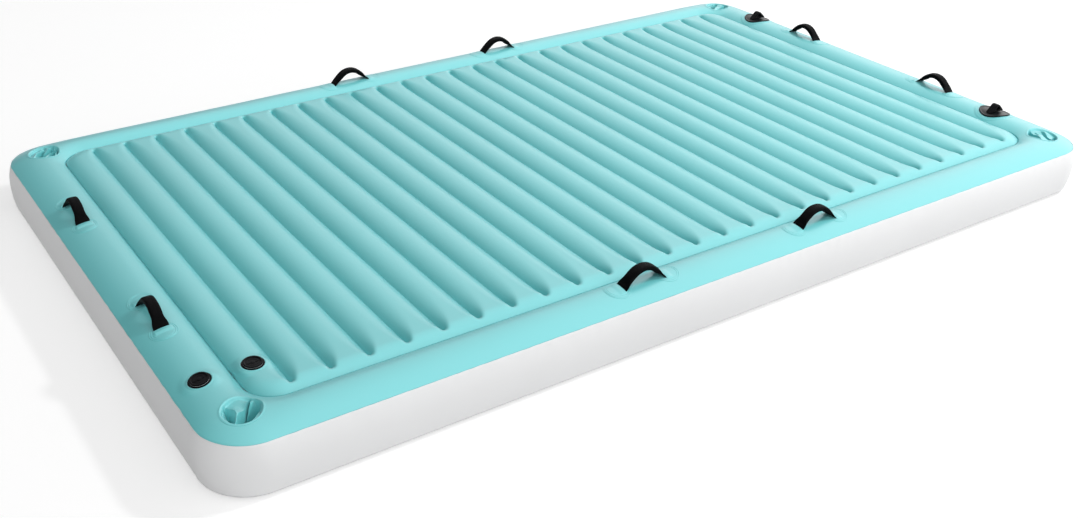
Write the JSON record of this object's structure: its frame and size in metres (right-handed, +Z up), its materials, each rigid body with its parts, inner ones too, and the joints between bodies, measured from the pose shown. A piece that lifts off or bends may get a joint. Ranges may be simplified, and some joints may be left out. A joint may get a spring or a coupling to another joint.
{
  "type": "inflatable lounge mat",
  "caption": "Large inflatable floating lounge mat: a ribbed deck inside a smooth ring, with grab handles, cup wells, screw valves and tow lugs.",
  "frame": {"origin": "on the floor, under the middle of the mat", "axes": "+X along the length, towards the end with the tow lugs; +Z up"},
  "size_m": [3.1, 1.83, 0.2282],
  "materials": {
    "aqua_vinyl": "satin",
    "white_vinyl": "satin",
    "black_webbing": "ribbed",
    "black_rubber": "satin",
    "black_plastic": "moulded",
    "grey_silicone": "smooth"
  },
  "bodies": {
    "mat": {"chamber_wall": "white_vinyl", "cup_well_1": "aqua_vinyl", "cup_well_2": "aqua_vinyl", "cup_well_3": "aqua_vinyl", "cup_well_4": "aqua_vinyl", "deck_skin": "aqua_vinyl", "deck_strips": "white_vinyl", "deck_underside": "white_vinyl", "deck_valve_socket": "black_plastic", "handle_1_foot_a": "aqua_vinyl", "handle_1_foot_b": "aqua_vinyl", "handle_2_foot_a": "aqua_vinyl", "handle_2_foot_b": "aqua_vinyl", "handle_3_foot_a": "aqua_vinyl", "handle_3_foot_b": "aqua_vinyl", "handle_4_foot_a": "aqua_vinyl", "handle_4_foot_b": "aqua_vinyl", "handle_5_foot_a": "aqua_vinyl", "handle_5_foot_b": "aqua_vinyl", "handle_6_foot_a": "aqua_vinyl", "handle_6_foot_b": "aqua_vinyl", "handle_7_foot_a": "aqua_vinyl", "handle_7_foot_b": "aqua_vinyl", "handle_8_foot_a": "aqua_vinyl", "handle_8_foot_b": "aqua_vinyl", "ring_skin_corner_1": "aqua_vinyl", "ring_skin_corner_2": "aqua_vinyl", "ring_skin_corner_3": "aqua_vinyl", "ring_skin_corner_4": "aqua_vinyl", "ring_skin_far": "aqua_vinyl", "ring_skin_left": "aqua_vinyl", "ring_skin_near": "aqua_vinyl", "ring_skin_right": "aqua_vinyl", "ring_underside": "white_vinyl", "ring_valve_socket": "black_plastic", "side_wall": "white_vinyl", "tow_lug_1": "black_rubber", "tow_lug_2": "black_rubber"},
    "handle_1_strap": {"handle_1": "black_webbing"},
    "handle_2_strap": {"handle_2": "black_webbing"},
    "handle_3_strap": {"handle_3": "black_webbing"},
    "handle_4_strap": {"handle_4": "black_webbing"},
    "handle_5_strap": {"handle_5": "black_webbing"},
    "handle_6_strap": {"handle_6": "black_webbing"},
    "handle_7_strap": {"handle_7": "black_webbing"},
    "handle_8_strap": {"handle_8": "black_webbing"},
    "ring_valve_seal_ring": {"ring_valve_seal": "grey_silicone"},
    "ring_valve_screw_cap": {"ring_valve_cap": "black_plastic"},
    "ring_valve_check_flap": {"ring_valve_flap": "grey_silicone"},
    "deck_valve_seal_ring": {"deck_valve_seal": "grey_silicone"},
    "deck_valve_screw_cap": {"deck_valve_cap": "black_plastic"},
    "deck_valve_check_flap": {"deck_valve_flap": "grey_silicone"}
  },
  "joints": [
    {"name": "handle_1_lean", "type": "hinge", "parent": "mat", "child": "handle_1_strap", "pos_m": [-0.32, -0.832, 0.19119], "axis": [1, 0, 0], "range_deg": [-25, 25], "stiffness_Nm_per_rad": 0.05},
    {"name": "handle_2_lean", "type": "hinge", "parent": "mat", "child": "handle_2_strap", "pos_m": [0.32, -0.832, 0.19119], "axis": [1, 0, 0], "range_deg": [-25, 25], "stiffness_Nm_per_rad": 0.05},
    {"name": "handle_3_lean", "type": "hinge", "parent": "mat", "child": "handle_3_strap", "pos_m": [1.467, -0.32, 0.19098], "axis": [0, 1, 0], "range_deg": [-25, 25], "stiffness_Nm_per_rad": 0.05},
    {"name": "handle_4_lean", "type": "hinge", "parent": "mat", "child": "handle_4_strap", "pos_m": [1.467, 0.32, 0.19098], "axis": [0, 1, 0], "range_deg": [-25, 25], "stiffness_Nm_per_rad": 0.05},
    {"name": "handle_5_lean", "type": "hinge", "parent": "mat", "child": "handle_5_strap", "pos_m": [0.32, 0.832, 0.19119], "axis": [-1, 0, 0], "range_deg": [-25, 25], "stiffness_Nm_per_rad": 0.05},
    {"name": "handle_6_lean", "type": "hinge", "parent": "mat", "child": "handle_6_strap", "pos_m": [-0.32, 0.832, 0.19119], "axis": [-1, 0, 0], "range_deg": [-25, 25], "stiffness_Nm_per_rad": 0.05},
    {"name": "handle_7_lean", "type": "hinge", "parent": "mat", "child": "handle_7_strap", "pos_m": [-1.467, 0.32, 0.19098], "axis": [0, -1, 0], "range_deg": [-25, 25], "stiffness_Nm_per_rad": 0.05},
    {"name": "handle_8_lean", "type": "hinge", "parent": "mat", "child": "handle_8_strap", "pos_m": [-1.467, -0.32, 0.19098], "axis": [0, -1, 0], "range_deg": [-25, 25], "stiffness_Nm_per_rad": 0.05},
    {"name": "ring_valve_lift", "type": "slide", "parent": "mat", "child": "ring_valve_seal_ring", "axis": [-0.1612, 0, 0.9869], "range_m": [0, 0.01]},
    {"name": "ring_valve_unscrew", "type": "hinge", "parent": "ring_valve_seal_ring", "child": "ring_valve_screw_cap", "pos_m": [-1.469, -0.644, 0.17803], "axis": [-0.1612, 0, 0.9869], "range_deg": [0, 900]},
    {"name": "ring_valve_check", "type": "slide", "parent": "mat", "child": "ring_valve_check_flap", "axis": [-0.1612, 0, 0.9869], "range_m": [-0.004, 0], "stiffness_N_per_m": 20},
    {"name": "deck_valve_lift", "type": "slide", "parent": "mat", "child": "deck_valve_seal_ring", "axis": [0, 0, 1], "range_m": [0, 0.01]},
    {"name": "deck_valve_unscrew", "type": "hinge", "parent": "deck_valve_seal_ring", "child": "deck_valve_screw_cap", "pos_m": [-1.33756, -0.644, 0.1773], "axis": [0, 0, 1], "range_deg": [0, 900]},
    {"name": "deck_valve_check", "type": "slide", "parent": "mat", "child": "deck_valve_check_flap", "axis": [0, 0, 1], "range_m": [-0.004, 0], "stiffness_N_per_m": 20}
  ],
  "couplings": [
    {"joint": "ring_valve_lift", "follows": "ring_valve_unscrew", "m_per_rad": 0.00063662},
    {"joint": "deck_valve_lift", "follows": "deck_valve_unscrew", "m_per_rad": 0.00063662}
  ]
}
